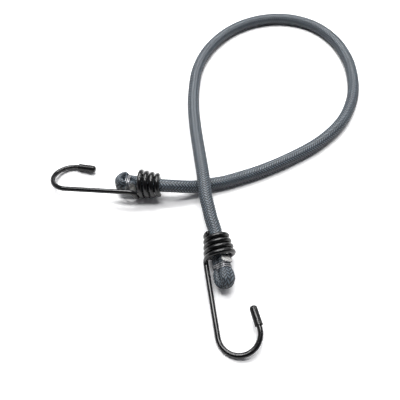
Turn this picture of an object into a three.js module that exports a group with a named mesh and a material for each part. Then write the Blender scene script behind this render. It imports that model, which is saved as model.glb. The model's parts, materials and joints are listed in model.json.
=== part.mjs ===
// Bungee cord: an elastic cord in a braided sheath, with a coated wire hook on each end.
// Units are millimetres and +Z is up. The cord lies slack on a flat surface at z = 0, in one open
// loop that passes over itself. The origin is on that surface, in the middle of the box round the
// two hooked ends.
import * as THREE from "three";

// Elastic cord
const cordDiameter = 8;
const cordSides = 12;
const sheathWall = 0.9;
const outerStrands = 6;
const strandSides = 5;
const strandGap = 0.2;
const strandClearance = 0.2;
const stepsPerPoint = 2;
const routeTension = 0.5;
const runPastCoil = 3;

// Wire hook
const wireDiameter = 3;
const wireSides = 8;
const coilTurns = 4.1;
const coilGap = 0.41;
const coilClearance = 0.3;
const coilTaper = 2.2;
const coilStepsPerTurn = 20;
const shankBendRadius = 3.4;
const shankBendSteps = 4;
const hookReach = 55.9;
const hookBendRadius = 11.3;
const hookBendAngle = 187;
const hookBendSteps = 13;
const hookBendOffset = 1.7;
const tipLength = 11.8;

// Tip cap
const capWall = 0.45;
const capLength = 11.3;
const capClearance = 0.25;
const capEndWall = 1.2;
const capCrown = 1.9;
const capCrownSteps = 4;
const capSegments = 14;

// Folded end of the cord, past the wide mouth of the coil
const splitDepth = 6;
const splitGap = 0.3;
const foldSides = 12;
const foldBendSteps = 6;
const foldSlit = 0.4;
const foldCoreGap = 0.2;
const foldCoreProud = 2.2;
const neckLength = 3;
const neckHalfWidth = 2.2;
const neckHalfHeight = 3.9;
const knobCrown = 1.1;

// Tie wound round the neck
const tieDiameter = 0.6;
const tieTurns = 2.25;
const tieGap = 0.5;
const tieClearance = 0.3;
const tieSides = 5;
const tieStepsPerTurn = 18;

// The two ends: the middle of each coil's mouth, the gap from the coil to the cut end, the length
// of cut cord that stands back out of the tied neck, how far the fold's legs run past the neck
// before they bend round, and the half sizes of each leg there
const leftMouthX = -8;
const leftMouthY = 42.3;
const leftCutGap = 1.9;
const leftCutLength = 0.5;
const leftKnobLength = 1.4;
const leftKnobHalfWidth = 2.9;
const leftKnobHalfHeight = 5.7;
const frontMouthX = 41.4;
const frontMouthY = -7.5;
const frontCutGap = 2.5;
const frontCutLength = 0.5;
const frontKnobLength = 5.6;
const frontKnobHalfWidth = 2.6;
const frontKnobHalfHeight = 4.8;

// In degrees: the way each end points, how far it dips towards the hook, and how far the hook and
// the fold are turned about it
const ends = [
  {
    name: "left", x: leftMouthX, y: leftMouthY, heading: 172.5, dip: 4.1, hookTurn: 197, foldTurn: 8,
    cutGap: leftCutGap, cutLength: leftCutLength, knobLength: leftKnobLength,
    knobHalfWidth: leftKnobHalfWidth, knobHalfHeight: leftKnobHalfHeight,
  },
  {
    name: "front", x: frontMouthX, y: frontMouthY, heading: -80.1, dip: 6.8, hookTurn: 12, foldTurn: 54,
    cutGap: frontCutGap, cutLength: frontCutLength, knobLength: frontKnobLength,
    knobHalfWidth: frontKnobHalfWidth, knobHalfHeight: frontKnobHalfHeight,
  },
];

// Route of the free cord from the front coil round the loop to the left coil: x, y, and the
// height of the cord above where it would lie flat on the surface.
const route = [
  [36.6, 15.4, 8],
  [35.1, 22.5, 8.8],
  [33.5, 30.6, 9.5],
  [31.6, 48.8, 9.5],
  [29.2, 67.4, 8.8],
  [27.1, 86.6, 6.4],
  [25.7, 106.8, 3.1],
  [25.9, 126.7, 1],
  [28.1, 146.6, 0.1],
  [34.6, 165.4, 0],
  [45.8, 182.3, 0],
  [61.2, 195.7, 0],
  [80.1, 203.6, 0],
  [100.1, 204.2, 0],
  [119, 196, 0],
  [132.3, 180, 0],
  [139.2, 159.5, 0],
  [140.2, 138.7, 0],
  [136.4, 117.8, 0],
  [125.8, 96.8, 0],
  [109.3, 79.6, 0],
  [90.3, 67, 0],
  [69.1, 56.1, 0],
  [48.1, 48.1, 0.2],
  [40, 46, 0.3],
  [33, 44.2, 0.7],
  [27, 42.1, 2.3],
  [21.2, 40.6, 4.5],
  [15.2, 39.9, 6.1],
];

const cordRadius = cordDiameter / 2;
const wireRadius = wireDiameter / 2;
const capBore = wireRadius + capClearance;
const capRadius = capBore + capWall;
const coilPitch = wireDiameter + coilGap;
const coilLength = coilTurns * coilPitch;
const coilNarrowRadius = cordRadius + coilClearance + wireRadius;
const coilWideRadius = coilNarrowRadius + coilTaper;
// The cord lies on one flat facet of its section.
const lyingHeight = cordRadius * Math.cos(Math.PI / cordSides);

const sheathFabric = new THREE.MeshStandardMaterial({ color: 0x5c6066, roughness: 0.85, metalness: 0 });
const rubber = new THREE.MeshStandardMaterial({ color: 0xd9d6cc, roughness: 0.7, metalness: 0 });
const blackCoating = new THREE.MeshStandardMaterial({ color: 0x0b0b0c, roughness: 0.25, metalness: 0 });
const blackVinyl = new THREE.MeshStandardMaterial({ color: 0x121213, roughness: 0.35, metalness: 0 });
const tieMetal = new THREE.MeshStandardMaterial({ color: 0xc9cbcf, roughness: 0.3, metalness: 1 });

const assembly = new THREE.Group();

function radians(degrees) {
  return (degrees * Math.PI) / 180;
}

function addMesh(parent, name, geometry, material) {
  const mesh = new THREE.Mesh(geometry, material);
  mesh.name = name;
  parent.add(mesh);
  return mesh;
}

// Skins a list of rings, each with the same number of points, into one closed surface. With
// bore rings it is a tube with an annular face at each end, and otherwise its ends are capped.
function skin(rings, boreRings = null) {
  const sides = rings[0].length;
  const points = rings.flat();
  const triangles = [];
  const quad = (a, b, c, d) => triangles.push(a, b, c, a, c, d);
  const wall = (start, count, outward) => {
    for (let i = 0; i + 1 < count; i++) {
      for (let k = 0; k < sides; k++) {
        const a = start + i * sides + k;
        const b = start + i * sides + ((k + 1) % sides);
        if (outward) quad(a, b, b + sides, a + sides);
        else quad(a, a + sides, b + sides, b);
      }
    }
  };
  const count = rings.length;
  wall(0, count, true);
  if (boreRings) {
    const boreStart = points.length;
    points.push(...boreRings.flat());
    wall(boreStart, count, false);
    const last = (count - 1) * sides;
    for (let k = 0; k < sides; k++) {
      const next = (k + 1) % sides;
      quad(k, boreStart + k, boreStart + next, next);
      quad(last + k, last + next, boreStart + last + next, boreStart + last + k);
    }
  } else {
    const last = (count - 1) * sides;
    for (let k = 1; k + 1 < sides; k++) {
      triangles.push(0, k + 1, k);
      triangles.push(last, last + k, last + k + 1);
    }
  }
  const geometry = new THREE.BufferGeometry();
  geometry.setAttribute("position", new THREE.Float32BufferAttribute(points.flatMap((p) => p.toArray()), 3));
  geometry.setIndex(triangles);
  geometry.computeVertexNormals();
  return geometry;
}

// One ring of points round a centre, in the plane of two unit vectors whose cross product points
// along the tube. A half-step offset puts a flat facet, not an edge, at the sides.
function ring(centre, across, upward, halfWidth, halfHeight, sides) {
  return Array.from({ length: sides }, (_, k) => {
    const angle = ((k + 0.5) * 2 * Math.PI) / sides;
    return centre
      .clone()
      .addScaledVector(across, halfWidth * Math.cos(angle))
      .addScaledVector(upward, halfHeight * Math.sin(angle));
  });
}

// Directions of the path at each of its points, taken from its neighbours.
function tangents(path) {
  return path.map((point, i) => {
    const before = path[Math.max(i - 1, 0)];
    const after = path[Math.min(i + 1, path.length - 1)];
    return after.clone().sub(before).normalize();
  });
}

// Frames along a path that turn with it as little as they can, starting from a given side.
function carriedFrames(path, firstSide) {
  const along = tangents(path);
  let side = firstSide.clone();
  return along.map((direction) => {
    side = side.addScaledVector(direction, -side.dot(direction)).normalize();
    const across = side.clone();
    return { across, upward: direction.clone().cross(across) };
  });
}

function wireTube(path, firstSide, radius, sides) {
  const frames = carriedFrames(path, firstSide);
  return skin(path.map((p, i) => ring(p, frames[i].across, frames[i].upward, radius, radius, sides)));
}

// The least gap between stretches of a round wire that lie at least a given length apart along it.
function leastGapToItself(path, diameter, apart) {
  const fine = new THREE.CatmullRomCurve3(path).getPoints(path.length * 4);
  const reached = [0];
  for (let i = 1; i < fine.length; i++) reached.push(reached[i - 1] + fine[i].distanceTo(fine[i - 1]));
  let least = Infinity;
  for (let i = 0; i < fine.length; i++) {
    for (let j = i + 1; j < fine.length; j++) {
      if (reached[j] - reached[i] > apart) least = Math.min(least, fine[i].distanceTo(fine[j]));
    }
  }
  return least - diameter;
}

// Turn of an end's group: x along the cord's axis and out of the coil's mouth, y to its left, z up.
function endTurn(end) {
  const heading = radians(end.heading);
  const dip = radians(end.dip);
  const side = new THREE.Vector3(-Math.sin(heading), Math.cos(heading), 0);
  const outward = new THREE.Vector3(Math.cos(heading), Math.sin(heading), 0).multiplyScalar(Math.cos(dip));
  outward.z = -Math.sin(dip);
  return new THREE.Matrix4().makeBasis(outward, side, outward.clone().cross(side));
}

// Wire path of a hook, in its end's frame before the hook is turned: a tapered coil, a quarter
// bend out of it, the shank, a bend of a little over half a turn and the straight tip.
function hookPath() {
  const path = [];
  const shankTurn = Math.atan2(shankBendRadius, coilWideRadius);
  const coilEnd = Math.PI - shankTurn;
  const coilSteps = Math.round(coilTurns * coilStepsPerTurn);
  for (let i = 0; i <= coilSteps; i++) {
    const share = i / coilSteps;
    const angle = coilEnd - 2 * Math.PI * coilTurns * (1 - share);
    const radius = coilNarrowRadius + (coilWideRadius - coilNarrowRadius) * share;
    const reach = -coilPitch * coilTurns * (1 - share);
    path.push(new THREE.Vector3(reach, radius * Math.cos(angle), radius * Math.sin(angle)));
  }
  const coilTop = path.at(-1);
  const round = new THREE.Vector3(0, -Math.sin(coilEnd), Math.cos(coilEnd));
  for (let i = 1; i <= shankBendSteps; i++) {
    const angle = (i / shankBendSteps) * (Math.PI / 2);
    const point = coilTop.clone().addScaledVector(round, shankBendRadius * Math.sin(angle));
    point.x += shankBendRadius * (1 - Math.cos(angle));
    path.push(point);
  }
  const shankStart = path.at(-1);
  const bendCentre = new THREE.Vector3(hookReach - wireRadius - hookBendRadius, hookBendOffset, 0);
  // The bend starts where the shank's straight line meets its circle squarely.
  const toCentre = bendCentre.clone().sub(shankStart);
  const lean = Math.asin(hookBendRadius / toCentre.length()) - Math.atan2(toCentre.y, toCentre.x);
  const spoke = new THREE.Vector3();
  for (let i = 0; i <= hookBendSteps; i++) {
    const angle = -Math.PI / 2 - lean + (i / hookBendSteps) * radians(hookBendAngle);
    spoke.set(Math.cos(angle), Math.sin(angle), 0);
    path.push(bendCentre.clone().addScaledVector(spoke, hookBendRadius));
  }
  const bendEnd = path.at(-1);
  const backward = new THREE.Vector3(-spoke.y, spoke.x, 0);
  path.push(bendEnd.clone().addScaledVector(backward, tipLength - capEndWall - capClearance));
  return { path, bendEnd, backward };
}

// The wire is skinned from its tip back, so that flat facets face in and out all round the bend.
function hookGeometry() {
  return wireTube(hookPath().path.reverse(), new THREE.Vector3(0, 0, 1), wireRadius, wireSides);
}

// A round-ended cap with a blind bore that the wire's end sits in. Its axis is Y, its open rim is
// at y = 0 and its round end at y = capLength.
function capGeometry() {
  const boreEnd = capLength - capEndWall;
  const profile = [[0, boreEnd], [capBore, boreEnd], [capBore, 0], [capRadius, 0]];
  for (let i = 0; i < capCrownSteps; i++) {
    const angle = (i / capCrownSteps) * (Math.PI / 2);
    profile.push([capRadius * Math.cos(angle), capLength - capCrown + capCrown * Math.sin(angle)]);
  }
  profile.push([0, capLength]);
  return new THREE.LatheGeometry(profile.map(([x, y]) => new THREE.Vector2(x, y)), capSegments);
}

// Where along an end the cut cord stops, and where the tied neck starts.
function cutEndReach({ cutGap }) {
  return wireRadius + cutGap;
}

function neckStart(end) {
  return cutEndReach(end) + end.cutLength;
}

// Stations of the folded end in its own frame: centre line reach and side shift, the direction
// across it, and the half sizes of its section. It leaves the coil round and on the axis, is
// squeezed flat beside its own return under the tie, swells, turns back and ends beside the neck.
function foldStations(end) {
  const { knobLength, knobHalfWidth, knobHalfHeight } = end;
  const neckReach = neckStart(end);
  const neckEnd = neckReach + neckLength;
  const knobReach = neckEnd + knobLength;
  const neckShift = neckHalfWidth + foldSlit / 2;
  const bendShift = knobHalfWidth + foldSlit / 2;
  const between = (from, to, share) => from + (to - from) * share;
  const stations = [];
  const add = (heading, reach, shift, halfWidth, halfHeight) =>
    stations.push({ heading, reach, shift, halfWidth, halfHeight });
  const swelling = (heading, side, share) => {
    const swell = Math.sin((share * Math.PI) / 2);
    const halfWidth = between(neckHalfWidth, knobHalfWidth, swell);
    const halfHeight = between(neckHalfHeight, knobHalfHeight, swell);
    const shift = side * between(neckShift, bendShift, swell);
    add(heading, between(neckEnd, knobReach, share), shift, halfWidth, halfHeight);
  };
  // How far the cord is squeezed into the neck's section at each reach, and the neck swelled.
  const squeeze = [[splitGap - splitDepth, 0], [-splitDepth / 2, 0.1], [0, 0.5], [neckReach / 2, 0.85]];
  const swellShares = [0, 0.3, 0.65, 1];
  squeeze.forEach(([reach, share]) =>
    add(0, reach, -share * neckShift, between(cordRadius, neckHalfWidth, share), cordRadius));
  add(0, neckReach, -neckShift, neckHalfWidth, neckHalfHeight);
  swellShares.forEach((share) => swelling(0, -1, share));
  for (let i = 1; i < foldBendSteps; i++) {
    const heading = (i / foldBendSteps) * Math.PI;
    const reach = knobReach + bendShift * Math.sin(heading);
    const halfHeight = knobHalfHeight - knobCrown * Math.sin(heading);
    add(heading, reach, -bendShift * Math.cos(heading), knobHalfWidth, halfHeight);
  }
  swellShares.reverse().forEach((share) => swelling(Math.PI, 1, share));
  add(Math.PI, neckReach, neckShift, neckHalfWidth, neckHalfHeight);
  add(Math.PI, cutEndReach(end), neckShift + foldSlit, neckHalfWidth, neckHalfHeight);
  return stations;
}

function foldRings(stations, inset, sides) {
  return stations.map((s) => {
    const centre = new THREE.Vector3(s.reach, s.shift, 0);
    const across = new THREE.Vector3(-Math.sin(s.heading), Math.cos(s.heading), 0);
    const upward = new THREE.Vector3(0, 0, 1);
    return ring(centre, across, upward, s.halfWidth - inset, s.halfHeight - inset, sides);
  });
}

function foldGeometry(end) {
  const stations = foldStations(end);
  return skin(foldRings(stations, 0, foldSides), foldRings(stations, sheathWall, foldSides));
}

function foldCoreGeometry(end) {
  const stations = foldStations(end);
  const cut = stations.at(-1);
  stations.push({ ...cut, reach: cut.reach - foldCoreProud });
  return skin(foldRings(stations, sheathWall + foldCoreGap, foldSides));
}

// Path of the tie: an open winding of a little over two turns, drawn round both legs of the neck.
function tiePath(end) {
  const legShift = neckHalfWidth + foldSlit / 2;
  const proud = tieClearance + tieDiameter / 2;
  const steps = Math.round(tieTurns * tieStepsPerTurn);
  return Array.from({ length: steps + 1 }, (_, i) => {
    const turned = ((i + 0.5) / (steps + 1)) * tieTurns;
    const angle = 2 * Math.PI * turned;
    const reach = neckStart(end) + neckLength / 2 + (tieDiameter + tieGap) * (turned - tieTurns / 2);
    const side = Math.sign(Math.cos(angle)) * legShift + (neckHalfWidth + proud) * Math.cos(angle);
    return new THREE.Vector3(reach, side, (neckHalfHeight + proud) * Math.sin(angle));
  });
}

function tieGeometry(end) {
  return wireTube(tiePath(end), new THREE.Vector3(1, 0, 0), tieDiameter / 2, tieSides);
}

// Hook, tip cap, folded end and tie of one end of the cord, set down on the surface.
function addEnd(end) {
  const endGroup = new THREE.Group();
  endGroup.quaternion.setFromRotationMatrix(endTurn(end));
  assembly.add(endGroup);

  const hookGroup = new THREE.Group();
  hookGroup.rotation.x = radians(end.hookTurn);
  endGroup.add(hookGroup);
  addMesh(hookGroup, end.name + "_hook", hookGeometry(), blackCoating);
  const cap = addMesh(hookGroup, end.name + "_tip_cap", capGeometry(), blackVinyl);
  const { bendEnd, backward } = hookPath();
  cap.position.copy(bendEnd).addScaledVector(backward, tipLength - capLength);
  cap.quaternion.setFromUnitVectors(new THREE.Vector3(0, 1, 0), backward);

  const foldGroup = new THREE.Group();
  foldGroup.rotation.x = radians(end.foldTurn);
  endGroup.add(foldGroup);
  addMesh(foldGroup, end.name + "_fold", foldGeometry(end), sheathFabric);
  addMesh(foldGroup, end.name + "_fold_core", foldCoreGeometry(end), rubber);
  addMesh(foldGroup, end.name + "_tie", tieGeometry(end), tieMetal);

  const lowest = new THREE.Box3().setFromObject(endGroup, true).min.z;
  endGroup.position.set(end.x, end.y, -lowest);
  endGroup.updateMatrixWorld(true);
  return endGroup;
}

// Centre line of the free cord: straight through each coil, and along the route between them. It
// dips no lower than where the cord lies flat.
function cordPath([leftEnd, frontEnd]) {
  const straightEnd = coilLength + runPastCoil;
  const straightRun = (endGroup) =>
    [splitDepth, (splitDepth + straightEnd) / 2, straightEnd].map((depth) =>
      endGroup.localToWorld(new THREE.Vector3(-depth, 0, 0)));
  const lying = route.map(([x, y, lift]) => new THREE.Vector3(x, y, lyingHeight + lift));
  const points = [...straightRun(frontEnd), ...lying, ...straightRun(leftEnd).reverse()];
  const curve = new THREE.CatmullRomCurve3(points, false, "catmullrom", routeTension);
  const path = curve.getPoints((points.length - 1) * stepsPerPoint);
  return path.map((point) => point.setZ(Math.max(point.z, lyingHeight)));
}

// Upright sections along the cord, shifted sideways and upward for the strands.
function cordRings(path, radius, sides, shiftSide = 0, shiftUp = 0) {
  const along = tangents(path);
  return path.map((point, i) => {
    const across = new THREE.Vector3(0, 0, 1).cross(along[i]).normalize();
    const upward = along[i].clone().cross(across);
    const centre = point.clone().addScaledVector(across, shiftSide).addScaledVector(upward, shiftUp);
    return ring(centre, across, upward, radius, radius, sides);
  });
}

function addCord(path) {
  const boreRadius = cordRadius - sheathWall;
  const sheathRings = cordRings(path, cordRadius, cordSides);
  addMesh(assembly, "sheath", skin(sheathRings, cordRings(path, boreRadius, cordSides)), sheathFabric);
  // One strand in the middle and a ring of strands round it fill the bore.
  const boreApothem = boreRadius * Math.cos(Math.PI / cordSides);
  const strandRadius = (boreApothem - strandClearance - strandGap) / 3;
  const spread = 2 * strandRadius + strandGap;
  const addStrand = (number, side, up) => {
    const rings = cordRings(path, strandRadius, strandSides, side, up);
    addMesh(assembly, "core_strand_" + number, skin(rings), rubber);
  };
  addStrand(1, 0, 0);
  for (let k = 0; k < outerStrands; k++) {
    const angle = (k / outerStrands) * 2 * Math.PI;
    addStrand(k + 2, spread * Math.cos(angle), spread * Math.sin(angle));
  }
}

addCord(cordPath(ends.map(addEnd)));

const diametersApart = 4;
const hookGapFound = leastGapToItself(hookPath().path, wireDiameter, diametersApart * wireDiameter);
const tieGapFound = leastGapToItself(tiePath(ends[0]), tieDiameter, diametersApart * tieDiameter);
console.log("least gap of the hook's wire to itself, mm:", hookGapFound.toFixed(2));
console.log("least gap of the tie to itself, mm:", tieGapFound.toFixed(2));

export default assembly;
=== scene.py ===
# Bungee cord: an elastic cord in a braided sheath, with a coated wire hook on each end.
# All lengths are in metres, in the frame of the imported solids.
import json
import math

import bpy
import numpy as np
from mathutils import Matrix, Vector


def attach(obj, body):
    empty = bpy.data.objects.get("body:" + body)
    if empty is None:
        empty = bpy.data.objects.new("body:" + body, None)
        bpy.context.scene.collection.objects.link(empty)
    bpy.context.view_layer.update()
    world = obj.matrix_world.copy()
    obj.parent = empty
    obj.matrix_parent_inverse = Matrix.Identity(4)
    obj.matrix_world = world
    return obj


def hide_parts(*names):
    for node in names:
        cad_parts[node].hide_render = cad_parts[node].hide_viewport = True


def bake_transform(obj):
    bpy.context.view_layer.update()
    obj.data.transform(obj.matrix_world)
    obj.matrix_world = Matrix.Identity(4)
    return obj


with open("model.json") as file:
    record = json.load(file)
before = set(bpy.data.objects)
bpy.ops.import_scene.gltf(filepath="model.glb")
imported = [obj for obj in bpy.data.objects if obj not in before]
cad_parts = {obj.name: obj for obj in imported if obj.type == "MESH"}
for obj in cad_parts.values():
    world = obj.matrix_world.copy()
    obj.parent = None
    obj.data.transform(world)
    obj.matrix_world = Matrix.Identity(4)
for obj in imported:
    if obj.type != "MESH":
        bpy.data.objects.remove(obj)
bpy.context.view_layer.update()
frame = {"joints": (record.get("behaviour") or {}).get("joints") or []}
scene = bpy.context.scene
scene.view_settings.view_transform = "Standard"

# Camera
# It stands in front of the cord and looks down on the surface at 57 degrees, level from side to
# side. Its focal length is given in pixels of the square picture.
picture_side = 400
focal_pixels = 515
camera_pitch = 57
camera_place = (0.0301, -0.13749, 0.26777)
nearest_seen = 0.01
camera_data = bpy.data.cameras.new("camera")
camera_data.lens = camera_data.sensor_width * focal_pixels / picture_side
camera_data.clip_start = nearest_seen
camera = bpy.data.objects.new("camera", camera_data)
camera.location = camera_place
camera.rotation_euler = (math.radians(90 - camera_pitch), 0, 0)
scene.collection.objects.link(camera)
scene.camera = camera


# Ends of the cord
# Each end of the cord runs straight out through the wide mouth of its hook's coil. The hook turns
# about the cord there, so its joint gives the middle of the mouth and the way the cord points.
def cord_end(swivel, sense):
    joint = next(j for j in frame["joints"] if j["name"] == swivel)
    outward = sense * np.array(joint["axis"])
    outward /= np.linalg.norm(outward)
    side = np.cross((0, 0, 1), outward)
    side /= np.linalg.norm(side)
    axes = np.array([outward, side, np.cross(outward, side)])
    return {"mouth": np.array(joint["pos_m"]), "axes": axes}


cord_ends = {"left": cord_end("left_hook_swivel", -1), "front": cord_end("front_hook_swivel", 1)}


def from_end(end_name, points, turn=0.0):
    """Points of an end's own frame, turned about the cord's axis by an angle in degrees."""
    points = np.asarray(points, float)
    angle = np.radians(turn)
    reach, side, up = points[:, 0], points[:, 1], points[:, 2]
    turned = np.column_stack([
        reach,
        side * np.cos(angle) - up * np.sin(angle),
        side * np.sin(angle) + up * np.cos(angle),
    ])
    end = cord_ends[end_name]
    return end["mouth"] + turned @ end["axes"]


# Sheath
# A tight tubular braid of grey polyester yarn over the rubber, from one hook to the other. Its
# yarns lie in herringbone columns along the cord. It is made in two lengths that meet round the
# far side of the loop: the first stays where it lies, and the second stretches with the left end.
cord_radius = 0.004
sheath_wall = 0.0009
split_depth = 0.006
coil_turns = 4.1
coil_pitch = 0.00341
run_past_coil = 0.003
straight_run = coil_turns * coil_pitch + run_past_coil
# From the front coil round the loop to the left coil: x, y, and the height above lying flat.
route = [
    (0.0366, 0.0154, 0.0080),
    (0.0351, 0.0225, 0.0088),
    (0.0335, 0.0306, 0.0095),
    (0.0316, 0.0488, 0.0095),
    (0.0292, 0.0674, 0.0088),
    (0.0271, 0.0866, 0.0064),
    (0.0257, 0.1068, 0.0031),
    (0.0259, 0.1267, 0.0010),
    (0.0281, 0.1466, 0.0001),
    (0.0346, 0.1654, 0),
    (0.0458, 0.1823, 0),
    (0.0612, 0.1957, 0),
    (0.0801, 0.2036, 0),
    (0.1001, 0.2042, 0),
    (0.1190, 0.1960, 0),
    (0.1323, 0.1800, 0),
    (0.1392, 0.1595, 0),
    (0.1402, 0.1387, 0),
    (0.1364, 0.1178, 0),
    (0.1258, 0.0968, 0),
    (0.1093, 0.0796, 0),
    (0.0903, 0.0670, 0),
    (0.0691, 0.0561, 0),
    (0.0481, 0.0481, 0.0002),
    (0.0400, 0.0460, 0.0003),
    (0.0330, 0.0442, 0.0007),
    (0.0270, 0.0421, 0.0023),
    (0.0212, 0.0406, 0.0045),
    (0.0152, 0.0399, 0.0061),
]
route_steps = 30
meeting_point = 18
cord_sides = 72
braid_columns = 12
braid_pick = 0.0017
braid_slant = 0.85
braid_depth = 0.0004
braid_twist = 0.4
column_dip = 0.3
rings_per_pick = 5
rings_per_bore_ring = 12
# Large uneven multipliers that give each stroke of yarn a shade of its own.
shade_per_pick = 12.9898
shade_per_column = 78.233
shade_scatter = 43758.5453
# Painted shade: the yarn's own grey darkens to near black as it sinks into the grooves between
# strokes and towards the edges of each column. The whole lower half of the yarn's height takes the
# painted shade.
painted_groove_shade = (0.003, 0.005, 0.008, 1)
crown_colour = (0.153, 0.198, 0.244, 1)
crown_rise = (0.5, 0.95)
shade_range = (0.7, 1.0)
fibre_grains = 4200
fibre_range = (0.8, 1.15)
fibre_depth = 0.00006
groove_roughness = 0.8
crown_roughness = 0.32
# The middle band that most values of a noise lie in.
noise_band = (0.3, 0.7)


def catmull_rom(points, steps):
    """A smooth curve through the points, with as many steps between each two."""
    points = np.asarray(points, float)
    padded = np.vstack([2 * points[0] - points[1], points, 2 * points[-1] - points[-2]])
    share = np.linspace(0, 1, steps, endpoint=False)[:, None]
    stretches = []
    for before, start, end, after in zip(padded, padded[1:], padded[2:], padded[3:]):
        lead = (end - before) / 2
        trail = (after - start) / 2
        square = 3 * (end - start) - 2 * lead - trail
        cube = 2 * (start - end) + lead + trail
        stretches.append(((cube * share + square) * share + lead) * share + start)
    return np.vstack(stretches + [points[-1:]])


def reached(points):
    """How far along a line of points each of them is."""
    return np.concatenate([[0], np.cumsum(np.linalg.norm(np.diff(points, axis=0), axis=1))])


def evenly(points, spacing, measured=3):
    """The same line with evenly spaced points. Only its first columns are measured as a place."""
    along = reached(points[:, :measured])
    wanted = np.linspace(0, along[-1], round(along[-1] / spacing) + 1)
    return np.column_stack([np.interp(wanted, along, column) for column in points.T])


def unit(vectors):
    return vectors / np.linalg.norm(vectors, axis=-1, keepdims=True)


def upright_frames(path):
    """Two directions across the path at each point, the second as near upright as it can be."""
    along = unit(np.gradient(path, axis=0))
    across = unit(np.cross((0, 0, 1), along))
    return across, np.cross(along, across)


def rings_round(path, across, upward, half_width, half_height, angles):
    """Rings of points round a path. The half sizes and angles may differ from ring to ring."""
    wide = (half_width * np.cos(angles))[..., None] * across[:, None]
    high = (half_height * np.sin(angles))[..., None] * upward[:, None]
    return path[:, None] + wide + high


def wall_faces(ring_count, sides, first=0):
    """Faces of a tube's wall between rings whose points are numbered one ring after another."""
    near = first + sides * np.arange(ring_count - 1)[:, None] + np.arange(sides)
    next_near = first + sides * np.arange(ring_count - 1)[:, None] + (np.arange(sides) + 1) % sides
    return np.stack([near, next_near, next_near + sides, near + sides], axis=-1).reshape(-1, 4)


def braid(lengths, columns, pick_length):
    """How high the braid's yarn stands, from 0 to 1, and its shade, at each length and angle."""
    turned = (np.arange(cord_sides) + 0.5) / cord_sides * columns
    column = np.floor(turned)
    within = turned - column
    odd = column % 2
    pick = lengths[:, None] / pick_length + (1 - 2 * odd) * braid_slant * (within - 0.5) + odd / 2
    across_yarn = np.abs(2 * (pick % 1) - 1)
    across_column = np.abs(2 * within - 1)
    # The crown also sets the painted shade in the yarn's material, darker in the grooves and at the
    # column edges.
    crown = (1 - across_yarn**2) * (1 - column_dip * across_column**3)
    shade = np.sin(np.floor(pick) * shade_per_pick + column * shade_per_column) * shade_scatter % 1
    return crown, shade


def add_piece(name, points, faces, material):
    mesh = bpy.data.meshes.new(name)
    mesh.from_pydata(np.asarray(points).reshape(-1, 3).tolist(), [], [list(face) for face in faces])
    mesh.shade_smooth()
    mesh.materials.append(material)
    piece = bpy.data.objects.new(name, mesh)
    scene.collection.objects.link(piece)
    return piece


def add_vertex_values(piece, name, values):
    attribute = piece.data.attributes.new(name, "FLOAT", "POINT")
    attribute.data.foreach_set("value", np.ravel(values).astype(np.float32))


def new_material(name):
    material = bpy.data.materials.new(name)
    material.use_nodes = True
    nodes = material.node_tree.nodes
    return material, nodes, material.node_tree.links, nodes["Principled BSDF"]


def add_noise(nodes, links, scale, detail=3.0):
    """Noise fixed to the piece, whose scale is its number of grains in a metre."""
    place = nodes.new("ShaderNodeTexCoord")
    noise = nodes.new("ShaderNodeTexNoise")
    noise.inputs["Scale"].default_value = scale
    noise.inputs["Detail"].default_value = detail
    links.new(place.outputs["Object"], noise.inputs["Vector"])
    return noise


def add_range(nodes, links, value, low, high, from_low=0.0, from_high=1.0):
    """Maps a value to lie between low and high."""
    ranged = nodes.new("ShaderNodeMapRange")
    ranged.inputs["From Min"].default_value = from_low
    ranged.inputs["From Max"].default_value = from_high
    ranged.inputs["To Min"].default_value = low
    ranged.inputs["To Max"].default_value = high
    links.new(value, ranged.inputs["Value"])
    return ranged.outputs["Result"]


def add_bump(nodes, links, height, normal_socket, depth, strength):
    bump = nodes.new("ShaderNodeBump")
    bump.inputs["Distance"].default_value = depth
    bump.inputs["Strength"].default_value = strength
    links.new(height, bump.inputs["Height"])
    links.new(bump.outputs["Normal"], normal_socket)


def add_mix(nodes, links, factor, first, second, way="MIX"):
    """Mixes two colours, each given as a colour or as another node's output."""
    mix = nodes.new("ShaderNodeMix")
    mix.data_type = "RGBA"
    mix.blend_type = way
    for socket, value in ((mix.inputs[0], factor), (mix.inputs[6], first), (mix.inputs[7], second)):
        if isinstance(value, bpy.types.NodeSocket):
            links.new(value, socket)
        else:
            socket.default_value = value
    return mix.outputs[2]


def braided_yarn(name):
    material, nodes, links, surface = new_material(name)
    crown = nodes.new("ShaderNodeAttribute")
    crown.attribute_name = "yarn_crown"
    shade = nodes.new("ShaderNodeAttribute")
    shade.attribute_name = "yarn_shade"
    fibres = add_noise(nodes, links, fibre_grains)
    # Painted shade: the colour runs from the yarn's own grey on the crowns to near black in the
    # grooves.
    rise = add_range(nodes, links, crown.outputs["Fac"], 0, 1, *crown_rise)
    yarn = add_mix(nodes, links, rise, painted_groove_shade, crown_colour)
    uneven = add_range(nodes, links, shade.outputs["Fac"], *shade_range)
    grain = add_range(nodes, links, fibres.outputs["Fac"], *fibre_range, *noise_band)
    yarn = add_mix(nodes, links, 1.0, yarn, uneven, "MULTIPLY")
    yarn = add_mix(nodes, links, 1.0, yarn, grain, "MULTIPLY")
    links.new(yarn, surface.inputs["Base Color"])
    roughness = add_range(nodes, links, crown.outputs["Fac"], groove_roughness, crown_roughness)
    links.new(roughness, surface.inputs["Roughness"])
    normal = surface.inputs["Normal"]
    add_bump(nodes, links, fibres.outputs["Fac"], normal, fibre_depth, strength=0.5)
    surface.inputs["Specular IOR Level"].default_value = 0.75
    surface.inputs["Sheen Weight"].default_value = 0.05
    return material


sheath_yarn = braided_yarn("sheath_yarn")
ring_spacing = braid_pick / rings_per_pick

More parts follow.
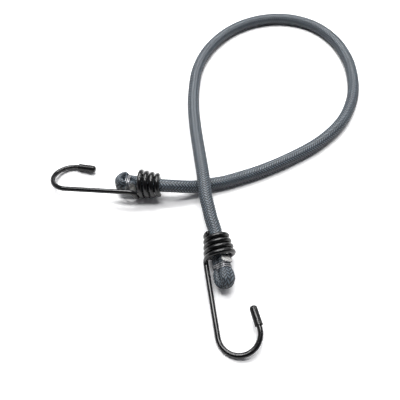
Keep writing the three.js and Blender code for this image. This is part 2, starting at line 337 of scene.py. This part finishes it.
run_depths = [split_depth, (split_depth + straight_run) / 2, straight_run]
run_points = [(-depth, 0, 0) for depth in run_depths]
lying = [(x, y, cord_radius + lift) for x, y, lift in route]
cord_points = [*from_end("front", run_points), *lying, *from_end("left", run_points)[::-1]]
cord_line = catmull_rom(cord_points, route_steps)
cord_line[:, 2] = np.maximum(cord_line[:, 2], cord_radius)
cord_line = evenly(cord_line, ring_spacing)
cord_across, cord_upward = upright_frames(cord_line)
cord_lengths = reached(cord_line)
meeting_ring = int(np.argmin(np.linalg.norm(cord_line - lying[meeting_point], axis=1)))


def add_sheath(name, first, last):
    rings = slice(first, last + 1)
    path, across, upward = cord_line[rings], cord_across[rings], cord_upward[rings]
    lengths = cord_lengths[rings]
    crown, shade = braid(lengths, braid_columns, braid_pick)
    twist = braid_twist * lengths[:, None] / cord_lengths[-1]
    angles = 2 * np.pi * ((np.arange(cord_sides) + 0.5) / cord_sides + twist)
    radius = cord_radius - braid_depth * (1 - crown)
    outside = rings_round(path, across, upward, radius, radius, angles)
    bore_rows = np.unique(np.append(np.arange(0, len(path), rings_per_bore_ring), len(path) - 1))
    bore_radius = np.full((len(bore_rows), 1), cord_radius - sheath_wall)
    bore = rings_round(
        path[bore_rows], across[bore_rows], upward[bore_rows],
        bore_radius, bore_radius, angles[bore_rows])
    points = np.vstack([outside.reshape(-1, 3), bore.reshape(-1, 3)])
    bore_first = outside.shape[0] * cord_sides
    around = np.arange(cord_sides)
    following = (around + 1) % cord_sides
    last_out = bore_first - cord_sides
    last_bore = len(points) - cord_sides
    faces = [
        *wall_faces(len(path), cord_sides),
        *wall_faces(len(bore_rows), cord_sides, bore_first)[:, ::-1],
        *np.column_stack([around, bore_first + around, bore_first + following, following]),
        *np.column_stack([
            last_out + around, last_out + following, last_bore + following, last_bore + around]),
    ]
    piece = add_piece(name, points, faces, sheath_yarn)
    hidden = np.zeros((len(bore_rows), cord_sides))
    add_vertex_values(piece, "yarn_crown", np.vstack([crown, hidden]))
    add_vertex_values(piece, "yarn_shade", np.vstack([shade, hidden]))
    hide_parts("sheath")
    return piece


last_ring = len(cord_line) - 1
sheath_loop = add_sheath("sheath_loop", 0, meeting_ring)
sheath_run = add_sheath("sheath_run", meeting_ring, last_ring)
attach(sheath_loop, "cord")
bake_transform(sheath_run)

# Rubber core
# A bundle of off-white latex strands that runs through the sheath from end to end and gives the
# cord its stretch. It is laid in the same two lengths as the sheath.
outer_strands = 6
strand_sides = 10
strand_radius = 0.00092
strand_spread = 0.00204
latex_dull = (0.86, 0.85, 0.82, 1)
latex_bright = (0.96, 0.95, 0.93, 1)
latex_grains = 1800
latex_roughness = (0.45, 0.7)
latex_bump = 0.00008


def latex(name):
    material, nodes, links, surface = new_material(name)
    grain = add_noise(nodes, links, latex_grains)
    colour = add_mix(nodes, links, grain.outputs["Fac"], latex_dull, latex_bright)
    links.new(colour, surface.inputs["Base Color"])
    roughness = add_range(nodes, links, grain.outputs["Fac"], *latex_roughness)
    links.new(roughness, surface.inputs["Roughness"])
    normal = surface.inputs["Normal"]
    add_bump(nodes, links, grain.outputs["Fac"], normal, latex_bump, strength=0.4)
    return material


core_latex = latex("core_latex")


def end_fans(sides, ring_count, first=0):
    """One face over each end of a tube."""
    last = first + (ring_count - 1) * sides
    return [list(range(first + sides - 1, first - 1, -1)), list(range(last, last + sides))]


def add_core(name, first, last):
    rows = np.unique(np.append(np.arange(first, last, rings_per_bore_ring), last))
    path, across, upward = cord_line[rows], cord_across[rows], cord_upward[rows]
    angles = 2 * np.pi * (np.arange(strand_sides) + 0.5) / strand_sides
    radius = np.full((len(rows), 1), strand_radius)
    points = []
    faces = []
    for strand in range(outer_strands + 1):
        spread = strand_spread if strand else 0.0
        lay = 2 * np.pi * strand / outer_strands
        middle = path + spread * (math.cos(lay) * across + math.sin(lay) * upward)
        start = strand * len(rows) * strand_sides
        points.append(rings_round(middle, across, upward, radius, radius, angles).reshape(-1, 3))
        faces.extend(wall_faces(len(rows), strand_sides, start))
        faces.extend(end_fans(strand_sides, len(rows), start))
    piece = add_piece(name, np.vstack(points), faces, core_latex)
    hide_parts(*[f"core_strand_{number}" for number in range(1, outer_strands + 2)])
    return piece


core_loop = add_core("core_loop", 0, meeting_ring)
core_run = add_core("core_run", meeting_ring, last_ring)
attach(core_loop, "cord")
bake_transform(core_run)


# Folded ends
# Past each coil the cord is squeezed flat, folded back on itself and tied, so that it swells into
# a knob too wide to slip back through the coil. The cut end stands out beside the tied neck.
split_gap = 0.0003
wire_radius = 0.0015
neck_length = 0.003
neck_half_width = 0.0022
neck_half_height = 0.0039
knob_crown = 0.0011
fold_slit = 0.0004
fold_columns = 14
fold_pick = 0.0017
fold_squareness = 2.5
fold_lip = 0.0006
fold_steps = 24
bend_steps = 8
leg_shares = (0, 0.3, 0.65, 1)
cut_length = 0.0005
cut_turned_out = 0.0016
cut_half_width = 0.0025
cut_half_height = 0.0043
cut_wall = 0.0004
# On the way back from the neck to the cut: the share of the way, the shift outwards, and the share
# of the opening from the neck's size to the cut's.
cut_places = ((0.2, 0.0002, 0.2), (0.8, 0.0008, 0.7), (1, cut_turned_out, 1))
# For each fold: how far past the mouth its cut end leaves the neck, the length of the knob's legs,
# the half sizes of each leg there, how far the slit between them opens into an eye, the fold's turn
# about the cord at its neck and at its round end, in degrees, how far the cut end goes back, and
# how far the latex stands out of it.
folds = {
    "left": {
        "body": "left_cord_end", "cut_reach": wire_radius + 0.0019, "knob_length": 0.0014,
        "knob_half_width": 0.0024, "knob_half_height": 0.0057, "eye": 0.0016, "turns": (12, 18),
        "cut_back": 0.0012, "latex_proud": 0.0005},
    "front": {
        "body": "cord", "cut_reach": wire_radius + 0.0025, "knob_length": 0.0056,
        "knob_half_width": 0.0026, "knob_half_height": 0.0048, "eye": 0.0, "turns": (50, 60),
        "cut_back": 0.0014, "latex_proud": 0.0008},
}


def fold_stations(fold):
    """Reach, side shift and half sizes of the section along the fold, from the coil to the cut."""
    knob_half_width, knob_half_height = fold["knob_half_width"], fold["knob_half_height"]
    neck_start = fold["cut_reach"] + cut_length
    neck_end = neck_start + neck_length
    knob_reach = neck_end + fold["knob_length"]
    neck_shift = neck_half_width + fold_slit / 2
    knob_shift = knob_half_width + (fold_slit + fold["eye"]) / 2
    # Reach past the mouth, and the share of the way from the round cord to the flat neck.
    squeezed = (
        (split_gap - split_depth, 0), (-split_depth / 2, 0.1), (0, 0.5), (neck_start / 2, 0.85))
    stations = []
    for reach, share in squeezed:
        half_width = cord_radius + share * (neck_half_width - cord_radius)
        stations.append((reach, -share * neck_shift, half_width, cord_radius))
    stations.append((neck_start, -neck_shift, neck_half_width, neck_half_height))

    def leg(side, shares):
        for share in shares:
            swell = 1 - (1 - share) ** 3
            stations.append((
                neck_end + share * fold["knob_length"],
                side * (neck_shift + swell * (knob_shift - neck_shift)),
                neck_half_width + swell * (knob_half_width - neck_half_width),
                neck_half_height + swell * (knob_half_height - neck_half_height),
            ))

    leg(-1, leg_shares)
    for step in range(1, bend_steps):
        angle = math.pi * step / bend_steps
        stations.append((
            knob_reach + knob_shift * math.sin(angle),
            -knob_shift * math.cos(angle),
            knob_half_width,
            knob_half_height - knob_crown * math.sin(angle),
        ))
    leg(1, leg_shares[::-1])
    stations.append((neck_start, neck_shift, neck_half_width, neck_half_height))
    for back, out, opened in cut_places:
        stations.append((
            fold["cut_reach"] - back * fold["cut_back"],
            neck_shift + out,
            neck_half_width + opened * (cut_half_width - neck_half_width),
            neck_half_height + opened * (cut_half_height - neck_half_height),
        ))
    return stations


def fold_turn(fold, reach):
    """The fold's turn about the cord at a reach past the mouth."""
    neck_start = fold["cut_reach"] + cut_length
    knob_end = neck_start + neck_length + fold["knob_length"] + 2 * fold["knob_half_width"]
    share = np.clip((reach - neck_start) / (knob_end - neck_start), 0, 1)
    return fold["turns"][0] + share * (fold["turns"][1] - fold["turns"][0])


def squared(angles, squareness):
    """Cosine and sine of a section that is squarer than an ellipse."""
    power = 2 / squareness
    cosine, sine = np.cos(angles), np.sin(angles)
    return np.sign(cosine) * np.abs(cosine) ** power, np.sign(sine) * np.abs(sine) ** power


def add_fold(name, fold):
    stations = catmull_rom(fold_stations(fold), fold_steps)
    line = evenly(stations, fold_pick / rings_per_pick, measured=2)
    lengths = reached(line[:, :2])
    along = unit(np.gradient(line[:, :2], axis=0))
    across = np.column_stack([-along[:, 1], along[:, 0]])
    crown, shade = braid(lengths, fold_columns, fold_pick)
    angles = 2 * np.pi * (np.arange(cord_sides) + 0.5) / cord_sides
    cosine, sine = squared(angles, fold_squareness)

    def ring(row, inset):
        wide = (line[row, 2] - inset) * cosine
        high = (line[row, 3] - inset) * sine
        return np.column_stack([
            line[row, 0] + wide * across[row, 0], line[row, 1] + wide * across[row, 1], high])

    last = len(line) - 1
    lip_row = last - round(2 * fold_lip * rings_per_pick / fold_pick)
    rings = [ring(row, braid_depth * (1 - crown[row])) for row in range(last + 1)]
    # The cut shows the wall's thickness, and the bore goes a little way in.
    rings += [ring(last, cut_wall), ring(lip_row, cut_wall)]
    # The cut face and the bore take the painted groove shade, near black.
    flat = np.zeros((2, cord_sides))
    points = np.vstack(rings)
    points = from_end(name, points, fold_turn(fold, points[:, 0]))
    faces = [*wall_faces(len(rings), cord_sides), *end_fans(cord_sides, len(rings))]
    piece = add_piece(f"{name}_folded_end", points, faces, sheath_yarn)
    add_vertex_values(piece, "yarn_crown", np.vstack([crown, flat]))
    add_vertex_values(piece, "yarn_shade", np.vstack([shade, flat]))
    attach(piece, fold["body"])
    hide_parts(f"{name}_fold")


for fold_name, fold in folds.items():
    add_fold(fold_name, fold)

# Cut ends
# Each folded end is cut off beside its neck, where it bends out and opens again. The latex strands
# fill the open cut, and the sheath's loose yarn ends fray round them.
latex_rooted = 0.0008
latex_strand_radius = 0.00048
latex_step = 0.0009
latex_splay = 0.12
latex_uneven = 0.0003
latex_sides = 10
latex_taper = np.array([1, 1, 1, 1, 0.96, 0.8])
fray_count = 170
fray_radius = 0.00012
fray_length = (0.0008, 0.0024)
fray_rooted = 0.0003
fray_inset = (0.1, 0.9)
fray_lean = (0.1, 0.9)
fray_curl = 0.35
curl_share = 0.6
fray_sides = 5
fray_taper = np.array([1, 1, 0.9, 0.7, 0.3])
fray_crown = (0.2, 1)
clear_radius = 0.006
# A fixed direction that sets how a tube's rings are turned about its path.
aslant = (0.31, 0.52, 0.79)
random = np.random.default_rng(7)


def tapered_tube(path, radii, sides):
    """Points and faces of a closed tube along a path."""
    along = unit(np.gradient(path, axis=0))
    across = unit(np.cross(along, aslant))
    upward = np.cross(along, across)
    angles = 2 * np.pi * np.arange(sides) / sides
    rings = rings_round(path, across, upward, radii[:, None], radii[:, None], angles)
    return rings.reshape(-1, 3), [*wall_faces(len(path), sides), *end_fans(sides, len(path))]


def hold_in(path):
    """Keeps a loose end clear of the hook's shank as it turns about the cord."""
    from_axis = np.linalg.norm(path[:, 1:], axis=1)
    path[:, 1:] *= np.minimum(1, clear_radius / from_axis)[:, None]


def join_tubes(tubes):
    points = []
    faces = []
    for tube_points, tube_faces in tubes:
        start = sum(len(p) for p in points)
        points.append(tube_points)
        faces.extend([[start + corner for corner in face] for face in tube_faces])
    return np.vstack(points), faces


def cut_face(fold):
    """Middle of the cut in the fold's plane, the ways onward and across, and its half sizes."""
    before, cut = np.array(fold_stations(fold)[-2:])
    onward = unit(cut[:2] - before[:2])
    return cut[:2], onward, np.array([-onward[1], onward[0]]), cut[2], cut[3]


def add_latex_ends(name, fold):
    middle, onward, across, half_width, half_height = cut_face(fold)
    open_width = half_width - cut_wall - latex_strand_radius
    open_height = half_height - cut_wall - latex_strand_radius
    rows = int(2 * open_width / latex_step) + 1
    share = np.linspace(0, 1, len(latex_taper))
    tubes = []
    for row in range(rows):
        side = (row - (rows - 1) / 2) * latex_step
        room = open_height * math.sqrt(1 - (side / half_width) ** 2)
        count = int(2 * room / latex_step) + 1
        for place in range(count):
            up = (place - (count - 1) / 2) * latex_step
            proud = fold["latex_proud"] + latex_uneven * random.uniform(-1, 1)
            depth = (latex_rooted + proud) * share - latex_rooted
            spread = 1 + latex_splay * share**2
            path = np.column_stack([
                middle + np.outer(spread * side, across) + np.outer(depth, onward),
                spread * up,
            ])
            hold_in(path)
            tubes.append(tapered_tube(path, latex_strand_radius * latex_taper, latex_sides))
    points, faces = join_tubes(tubes)
    points = from_end(name, points, fold["turns"][0])
    piece = add_piece(f"{name}_latex_ends", points, faces, core_latex)
    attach(piece, fold["body"])
    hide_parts(f"{name}_fold_core")


def add_fray(name, fold):
    middle, onward, across, half_width, half_height = cut_face(fold)
    share = np.linspace(0, 1, len(fray_taper))[:, None]
    tubes = []
    for _ in range(fray_count):
        angle = random.uniform(0, 2 * np.pi)
        inset = random.uniform(*fray_inset) * cut_wall
        rim = np.append(across * math.cos(angle), math.sin(angle))
        root = np.append(middle - fray_rooted * onward, 0)
        root += rim * np.array([half_width, half_width, half_height]) - inset * rim
        heading = unit(np.append(onward, 0) + random.uniform(*fray_lean) * rim)
        curl = random.normal(0, fray_curl, 3)
        length = random.uniform(*fray_length)
        path = root + length * (heading * share + curl * share**2 * curl_share)
        hold_in(path)
        tubes.append(tapered_tube(path, fray_radius * fray_taper, fray_sides))
    points, faces = join_tubes(tubes)
    points = from_end(name, points, fold["turns"][0])
    piece = add_piece(f"{name}_frayed_yarn", points, faces, sheath_yarn)
    add_vertex_values(piece, "yarn_crown", random.uniform(*fray_crown, len(points)))
    add_vertex_values(piece, "yarn_shade", random.uniform(0, 1, len(points)))
    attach(piece, fold["body"])


for fold_name, fold in folds.items():
    add_latex_ends(fold_name, fold)
    add_fray(fold_name, fold)

# Ties
# Fine bright wire wound a little over two turns round both legs of each neck and pulled tight.
tie_radius = 0.0003
tie_turns = 2.25
tie_step = 0.0011
tie_proud = 0.0003
tie_squareness = 3.2
tie_sides = 10
tie_points = 160
tie_spacing = 0.0003
tie_tarnished = (0.10, 0.10, 0.11, 1)
tie_bare = (0.85, 0.85, 0.87, 1)
tarnish_grains = 2600
tarnish_band = (0.42, 0.58)
tarnished_roughness = 0.55
bare_roughness = 0.35


def bright_wire(name):
    material, nodes, links, surface = new_material(name)
    tarnish = add_noise(nodes, links, tarnish_grains)
    bare = add_range(nodes, links, tarnish.outputs["Fac"], 0, 1, *tarnish_band)
    colour = add_mix(nodes, links, bare, tie_tarnished, tie_bare)
    links.new(colour, surface.inputs["Base Color"])
    roughness = add_range(nodes, links, bare, tarnished_roughness, bare_roughness)
    links.new(roughness, surface.inputs["Roughness"])
    surface.inputs["Metallic"].default_value = 1.0
    return material


tie_metal = bright_wire("tie_metal")


def add_tie(name, fold):
    neck_shift = neck_half_width + fold_slit / 2
    middle = fold["cut_reach"] + cut_length + neck_length / 2
    turned = np.linspace(0, tie_turns, tie_points)
    cosine, sine = squared(2 * np.pi * turned, tie_squareness)
    side = (neck_shift + neck_half_width + tie_proud) * cosine
    up = (neck_half_height + tie_proud) * sine
    reach = middle + tie_step * (turned - tie_turns / 2)
    path = evenly(np.column_stack([reach, side, up]), tie_spacing)
    points, faces = tapered_tube(path, np.full(len(path), tie_radius), tie_sides)
    points = from_end(name, points, fold["turns"][0])
    piece = add_piece(f"{name}_tie_wire", points, faces, tie_metal)
    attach(piece, fold["body"])
    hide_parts(f"{name}_tie")


for fold_name, fold in folds.items():
    add_tie(fold_name, fold)

# Hooks
# One length of spring wire each, in a glossy black coat: wound into a tapered coil that grips the
# cord, bent out into a straight shank, and bent round into a J.
coil_clearance = 0.0003
coil_taper = 0.0022
shank_bend_radius = 0.0034
hook_reach = 0.0559
hook_bend_radius = 0.0113
hook_bend_angle = 187
hook_bend_offset = 0.0017
tip_length = 0.0118
cap_end_wall = 0.0012
cap_clearance = 0.00025
hook_turns = {"left": 197, "front": 12}
wire_sides = 24
wire_spacing = 0.0004
wire_end_taper = (0.72, 0.88, 0.96, 1)
coil_points = 240
shank_bend_points = 16
hook_bend_points = 60
coat_dark = (0.0025, 0.0025, 0.003, 1)
coat_worn = (0.006, 0.006, 0.0065, 1)
coat_roughness = (0.14, 0.26)
coat_bump = 0.00005
wear_grains = 160
orange_peel_grains = 700


def hook_line():
    """Path of the wire in its end's frame, with the tip's start and direction."""
    narrow = cord_radius + coil_clearance + wire_radius
    wide = narrow + coil_taper
    coil_end = math.pi - math.atan2(shank_bend_radius, wide)
    share = np.linspace(0, 1, coil_points)
    angle = coil_end - 2 * np.pi * coil_turns * (1 - share)
    radius = narrow + coil_taper * share
    coil = np.column_stack([
        -coil_pitch * coil_turns * (1 - share), radius * np.cos(angle), radius * np.sin(angle)])
    onward = np.array([0, -math.sin(coil_end), math.cos(coil_end)])
    outward = np.array([1, 0, 0])
    quarter = np.linspace(0, np.pi / 2, shank_bend_points)[1:, None]
    turned_out = onward * np.sin(quarter) + outward * (1 - np.cos(quarter))
    out_bend = coil[-1] + shank_bend_radius * turned_out
    centre = np.array([hook_reach - wire_radius - hook_bend_radius, hook_bend_offset, 0])
    to_centre = centre - out_bend[-1]
    lean = math.asin(hook_bend_radius / np.linalg.norm(to_centre))
    lean -= math.atan2(to_centre[1], to_centre[0])
    sweep = -np.pi / 2 - lean + np.linspace(0, math.radians(hook_bend_angle), hook_bend_points)
    bend = centre + hook_bend_radius * np.column_stack([np.cos(sweep), np.sin(sweep), 0 * sweep])
    backward = np.array([-math.sin(sweep[-1]), math.cos(sweep[-1]), 0])
    tip = bend[-1] + backward * (tip_length - cap_end_wall - cap_clearance)
    return np.vstack([coil, out_bend, bend, [tip]]), bend[-1], backward


def carried_frames(path, first_side):
    """Two directions across the path, turning with it as little as they can."""
    along = unit(np.gradient(path, axis=0))
    side = np.asarray(first_side, float)
    across = []
    for direction in along:
        side = unit(side - direction * np.dot(side, direction))
        across.append(side)
    across = np.array(across)
    return across, np.cross(along, across)


def coated_wire(name):
    material, nodes, links, surface = new_material(name)
    orange_peel = add_noise(nodes, links, orange_peel_grains, detail=2.0)
    wear = add_noise(nodes, links, wear_grains)
    colour = add_mix(nodes, links, wear.outputs["Fac"], coat_dark, coat_worn)
    links.new(colour, surface.inputs["Base Color"])
    roughness = add_range(nodes, links, wear.outputs["Fac"], *coat_roughness, *noise_band)
    links.new(roughness, surface.inputs["Roughness"])
    normal = surface.inputs["Normal"]
    add_bump(nodes, links, orange_peel.outputs["Fac"], normal, coat_bump, strength=0.08)
    surface.inputs["Specular IOR Level"].default_value = 0.1
    surface.inputs["Coat Weight"].default_value = 1.0
    surface.inputs["Coat IOR"].default_value = 1.5
    surface.inputs["Coat Roughness"].default_value = 0.12
    return material


hook_coat = coated_wire("hook_coat")


def add_hook(name):
    path = evenly(hook_line()[0], wire_spacing)
    across, upward = carried_frames(path, (1, 0, 0))
    radius = np.full((len(path), 1), wire_radius)
    radius[:len(wire_end_taper), 0] *= wire_end_taper
    angles = 2 * np.pi * np.arange(wire_sides) / wire_sides
    points = rings_round(path, across, upward, radius, radius, angles).reshape(-1, 3)
    faces = [*wall_faces(len(path), wire_sides), *end_fans(wire_sides, len(path))]
    points = from_end(name, points, hook_turns[name])
    piece = add_piece(f"{name}_hook_wire", points, faces, hook_coat)
    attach(piece, f"{name}_hook_unit")
    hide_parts(f"{name}_hook")


for end_name in cord_ends:
    add_hook(end_name)

# Tip caps
# A round-ended cap of dipped black vinyl pushed over each hook's wire end, with a slightly rolled
# rim that stands off the wire.
cap_length = 0.0113
cap_wall = 0.00045
cap_crown = 0.0019
cap_rim = 0.00012
cap_sides = 48
past_rim = 0.0011
up_the_wall = 0.004
rim_points = 9
crown_points = 12
vinyl_dark = (0.006, 0.006, 0.006, 1)
vinyl_light = (0.014, 0.014, 0.015, 1)
vinyl_grains = 1400
vinyl_roughness = (0.22, 0.36)
vinyl_bump = 0.00005


def dipped_vinyl(name):
    material, nodes, links, surface = new_material(name)
    skin = add_noise(nodes, links, vinyl_grains)
    colour = add_mix(nodes, links, skin.outputs["Fac"], vinyl_dark, vinyl_light)
    links.new(colour, surface.inputs["Base Color"])
    roughness = add_range(nodes, links, skin.outputs["Fac"], *vinyl_roughness, *noise_band)
    links.new(roughness, surface.inputs["Roughness"])
    normal = surface.inputs["Normal"]
    add_bump(nodes, links, skin.outputs["Fac"], normal, vinyl_bump, strength=0.1)
    surface.inputs["Specular IOR Level"].default_value = 0.1
    surface.inputs["Coat Weight"].default_value = 0.7
    surface.inputs["Coat IOR"].default_value = 1.45
    surface.inputs["Coat Roughness"].default_value = 0.1
    return material


cap_vinyl = dipped_vinyl("cap_vinyl")


def cap_profile():
    """Radius and distance from the open rim, from the bottom of the bore round to the crown."""
    bore = wire_radius + cap_clearance
    outside = bore + cap_wall
    bore_end = cap_length - cap_end_wall
    rim_middle = (bore + outside) / 2 + cap_rim / 2
    rim_half = (outside - bore) / 2 + cap_rim / 2
    rim = [
        (rim_middle + rim_half * math.cos(turn), rim_half + rim_half * math.sin(turn))
        for turn in np.linspace(np.pi, 2 * np.pi, rim_points)]
    crown_start = cap_length - cap_crown
    crown = [
        (outside * math.cos(turn), crown_start + cap_crown * math.sin(turn))
        for turn in np.linspace(0, np.pi / 2, crown_points)[:-1]]
    return [(bore, bore_end), *rim, (outside, past_rim), (outside, up_the_wall), *crown]


def add_cap(name):
    _, bend_end, backward = hook_line()
    rim_middle = bend_end + backward * (tip_length - cap_length)
    across = unit(np.cross(backward, (0, 0, 1)))
    upward = np.cross(backward, across)
    angles = 2 * np.pi * np.arange(cap_sides) / cap_sides
    profile = np.array(cap_profile())
    path = rim_middle + profile[:, 1:] * backward
    rows = np.ones((len(profile), 1))
    radius = profile[:, :1]
    points = rings_round(path, rows * across, rows * upward, radius, radius, angles).reshape(-1, 3)
    faces = [*wall_faces(len(profile), cap_sides), *end_fans(cap_sides, len(profile))]
    points = from_end(name, points, hook_turns[name])
    piece = add_piece(f"{name}_vinyl_cap", points, faces, cap_vinyl)
    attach(piece, f"{name}_hook_unit")
    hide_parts(f"{name}_tip_cap")


for end_name in cord_ends:
    add_cap(end_name)

# Floor and light
# A plain white surface, so brightly exposed that only the close shadows show on it, in front of a
# white backdrop. Three long strip lamps hang over and behind the cord, with a broad panel on its
# left and a smaller one on its right, in a dim room.
floor_side = 6.0
floor_seen = (1.3, 1.3, 1.3, 1)
floor_mirrored = (0.8, 0.8, 0.8, 1)
floor_bounce = (0.36, 0.36, 0.37, 1)
# How far from the middle of the floor it starts to run out into plain white, and where it ends.
floor_fade = (0.28, 0.5)
lamp_target = np.array([0.04, 0.06, 0.0])
# Where each lamp stands from the target, its length and width, and its power in watts.
lamps = {
    "low_strip": ((0.0, 0.66, 0.7), (0.75, 0.12), 3.7),
    "back_strip": ((0.0, 0.42, 0.86), (0.75, 0.12), 4.3),
    "top_strip": ((0.0, 0.03, 0.95), (0.6, 0.16), 3.8),
    "left_lamp": ((-0.42, 0.28, 0.82), (0.16, 0.4), 2.2),
    "right_lamp": ((0.56, 0.32, 0.66), (0.1, 0.3), 0.8),
}
room_front = (0.02, 0.02, 0.023, 1)
room_back = (0.3, 0.3, 0.32, 1)
room_turn = (-0.6, 0.7)
plain_white = (1, 1, 1, 1)
# How high above the horizon the white backdrop starts to give way to the room, and where it ends.
backdrop_fade = (0.08, 0.16)


def white_surface(name):
    material, nodes, links, _ = new_material(name)
    light_path = nodes.new("ShaderNodeLightPath")
    matt = nodes.new("ShaderNodeBsdfDiffuse")
    backdrop = nodes.new("ShaderNodeEmission")
    backdrop.inputs["Color"].default_value = plain_white
    place = nodes.new("ShaderNodeTexCoord")
    away = nodes.new("ShaderNodeVectorMath")
    away.operation = "LENGTH"
    links.new(place.outputs["Object"], away.inputs[0])
    run_out = add_range(nodes, links, away.outputs["Value"], 0, 1, *floor_fade)
    colour = floor_bounce
    fade = (0, 0, 0, 1)
    for ray, shown in (
        ("Is Camera Ray", floor_seen),
        ("Is Glossy Ray", floor_mirrored),
        ("Is Transmission Ray", floor_mirrored),
    ):
        colour = add_mix(nodes, links, light_path.outputs[ray], colour, shown)
        fade = add_mix(nodes, links, light_path.outputs[ray], fade, run_out)
    links.new(colour, matt.inputs["Color"])
    whole = nodes.new("ShaderNodeMixShader")
    links.new(fade, whole.inputs["Fac"])
    links.new(matt.outputs["BSDF"], whole.inputs[1])
    links.new(backdrop.outputs["Emission"], whole.inputs[2])
    links.new(whole.outputs["Shader"], nodes["Material Output"].inputs["Surface"])
    return material


half_floor = floor_side / 2
floor_corners = [(-half_floor, -half_floor, 0), (half_floor, -half_floor, 0),
                 (half_floor, half_floor, 0), (-half_floor, half_floor, 0)]
floor = add_piece("floor", floor_corners, [(0, 1, 2, 3)], white_surface("white_surface"))

for lamp_name, (lamp_place, lamp_size, lamp_power) in lamps.items():
    lamp_data = bpy.data.lights.new(lamp_name, "AREA")
    lamp_data.shape = "RECTANGLE"
    lamp_data.size, lamp_data.size_y = lamp_size
    lamp_data.energy = lamp_power
    lamp = bpy.data.objects.new(lamp_name, lamp_data)
    lamp.location = lamp_target + lamp_place
    lamp.rotation_euler = Vector(lamp_place).to_track_quat("Z", "Y").to_euler()
    scene.collection.objects.link(lamp)

world = bpy.data.worlds.new("room")
world.use_nodes = True
scene.world = world
room_nodes, room_links = world.node_tree.nodes, world.node_tree.links
room_place = room_nodes.new("ShaderNodeTexCoord")
room_axes = room_nodes.new("ShaderNodeSeparateXYZ")
room_links.new(room_place.outputs["Generated"], room_axes.inputs[0])
towards_back = add_range(room_nodes, room_links, room_axes.outputs["Y"], 0, 1, *room_turn)
room_colour = add_mix(room_nodes, room_links, towards_back, room_front, room_back)
above_backdrop = add_range(room_nodes, room_links, room_axes.outputs["Z"], 0, 1, *backdrop_fade)
mirrored_colour = add_mix(room_nodes, room_links, above_backdrop, plain_white, room_colour)
room_light_path = room_nodes.new("ShaderNodeLightPath")
for ray, shown in (
    ("Is Camera Ray", plain_white),
    ("Is Glossy Ray", mirrored_colour),
    ("Is Transmission Ray", mirrored_colour),
):
    room_colour = add_mix(room_nodes, room_links, room_light_path.outputs[ray], room_colour, shown)
room_links.new(room_colour, room_nodes["Background"].inputs["Color"])
